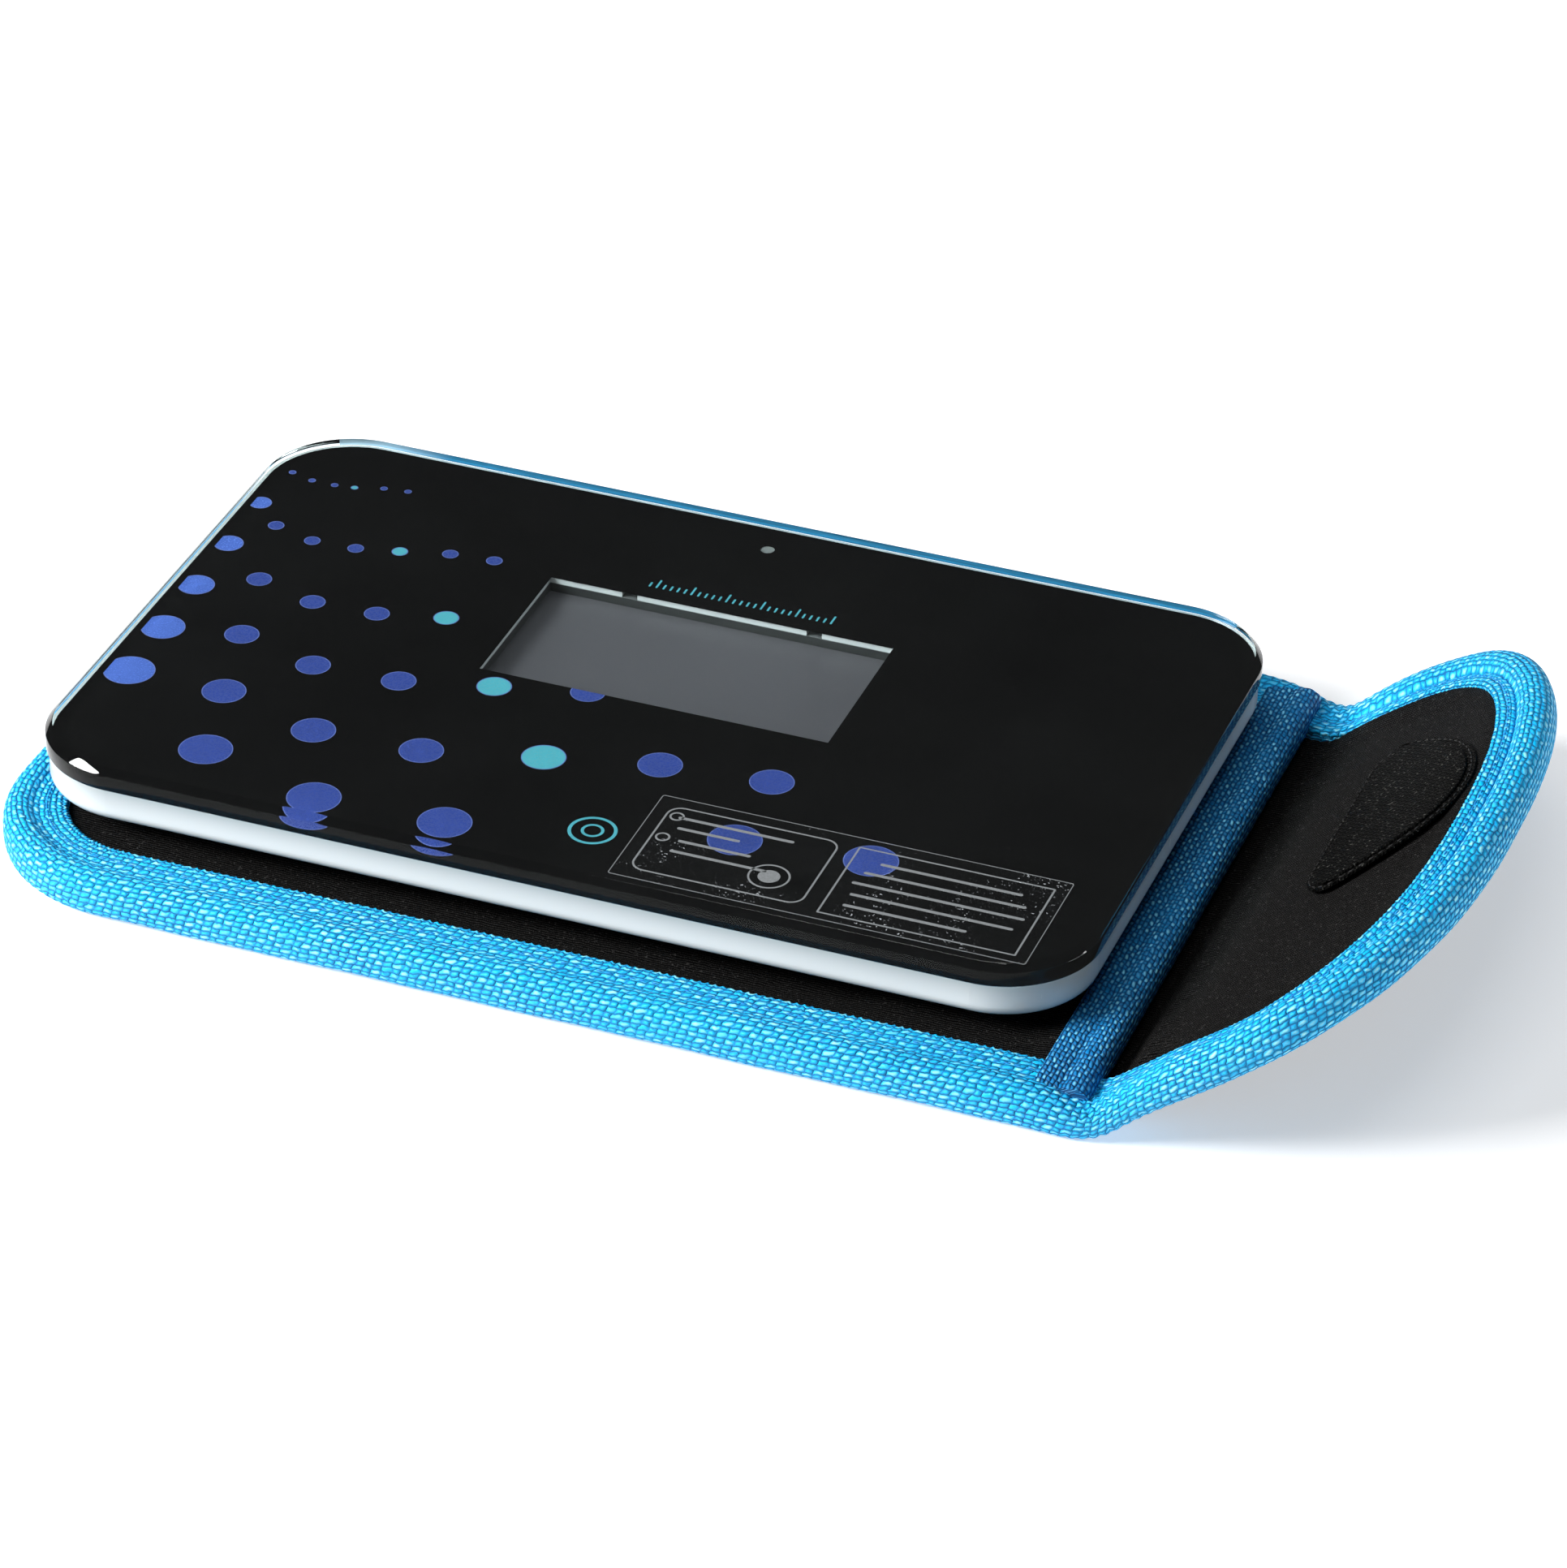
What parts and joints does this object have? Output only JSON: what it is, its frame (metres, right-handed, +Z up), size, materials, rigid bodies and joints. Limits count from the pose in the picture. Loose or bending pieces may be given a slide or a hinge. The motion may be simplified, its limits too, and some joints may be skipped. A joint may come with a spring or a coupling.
{
  "type": "electronic travel body scale with carrying sleeve",
  "caption": "Slim glass-topped electronic scale on four load-cell feet, lying on its neoprene carrying sleeve with the sleeve's flap curled up.",
  "frame": {"origin": "on the floor (underside of the sleeve's back panel), under the centre of the glass platform", "axes": "+X along the platform towards the sleeve's mouth and flap, +Y towards the platform's back edge (the display window is behind the middle), +Z up out of the weighing face"},
  "size_m": [0.2953, 0.163, 0.0439],
  "materials": {
    "glass": "clear, polished, ground bevel",
    "print": "opaque back print",
    "white_abs": "glossy white",
    "foam_tape": "foam tape",
    "frame_plastic": "satin light grey",
    "lcd": "grey liquid crystal cell",
    "foam": "soft foam",
    "ribbon": "polyimide film",
    "steel": "zinc plated",
    "pcb": "solder mask",
    "epoxy": "epoxy blob",
    "ceramic_chip": "chip capacitors",
    "switch_body": "moulded",
    "button_grey": "satin",
    "lamp": "translucent",
    "wire": "vinyl insulation",
    "coin_steel": "bright can",
    "contact": "nickel-flashed spring strip",
    "label": "blank silver label",
    "cell_steel": "spring steel",
    "gauge": "foil gauge",
    "foot_plastic": "satin white",
    "pad_rubber": "soft rubber",
    "neoprene": "neoprene foam faced with black knit",
    "binding": "woven polyester, cyan",
    "patch": "hook and loop"
  },
  "bodies": {
    "sleeve": {"sleeve_back_panel": "neoprene", "sleeve_front_panel": "neoprene", "pocket_binding": "binding", "mouth_binding": "binding", "sleeve_loop_patch": "patch"},
    "scale": {"glass_platform": "glass", "print_mask": "print", "mounting_tape": "foam_tape", "base_housing": "white_abs", "display_frame": "frame_plastic", "display_panel": "lcd", "display_pad": "foam", "display_ribbon": "ribbon", "frame_screws": "steel", "circuit_board": "pcb", "controller_chip": "epoxy", "board_capacitors": "ceramic_chip", "board_crystal": "steel", "board_screws": "steel", "unit_switch": "switch_body", "indicator_lamp": "lamp", "indicator_leads": "wire", "coin_cell": "coin_steel", "negative_spring": "contact", "positive_leaf": "contact", "battery_leads": "wire", "rating_label": "label", "load_cell_1": "cell_steel", "strain_gauge_1": "gauge", "foot_cap_1": "foot_plastic", "foot_pad_1": "pad_rubber", "cell_leads_1": "wire", "load_cell_2": "cell_steel", "strain_gauge_2": "gauge", "foot_cap_2": "foot_plastic", "foot_pad_2": "pad_rubber", "cell_leads_2": "wire", "load_cell_3": "cell_steel", "strain_gauge_3": "gauge", "foot_cap_3": "foot_plastic", "foot_pad_3": "pad_rubber", "cell_leads_3": "wire", "load_cell_4": "cell_steel", "strain_gauge_4": "gauge", "foot_cap_4": "foot_plastic", "foot_pad_4": "pad_rubber", "cell_leads_4": "wire"},
    "flap": {"flap_panel": "neoprene", "flap_binding": "binding", "flap_hook_patch": "patch"},
    "unit_button": {"unit_button": "button_grey", "switch_plunger": "button_grey"},
    "battery_cap": {"battery_cap": "white_abs"}
  },
  "joints": [
    {"name": "scale_lift", "type": "slide", "parent": "sleeve", "child": "scale", "axis": [0, 0, 1], "range_m": [0, 0.15]},
    {"name": "flap_fold", "type": "hinge", "parent": "sleeve", "child": "flap", "pos_m": [0.1215, -0.0065, 0.0042], "axis": [0, -1, 0], "range_deg": [-30, 54]},
    {"name": "unit_button_press", "type": "slide", "parent": "scale", "child": "unit_button", "axis": [0, 0, 1], "range_m": [0, 0.0004], "stiffness_N_per_m": 2000, "springref_m": -0.0002},
    {"name": "battery_cap_twist", "type": "hinge", "parent": "scale", "child": "battery_cap", "pos_m": [0.073, -0.004, 0.0115], "axis": [0, 0, 1], "range_deg": [-60, 0]}
  ]
}
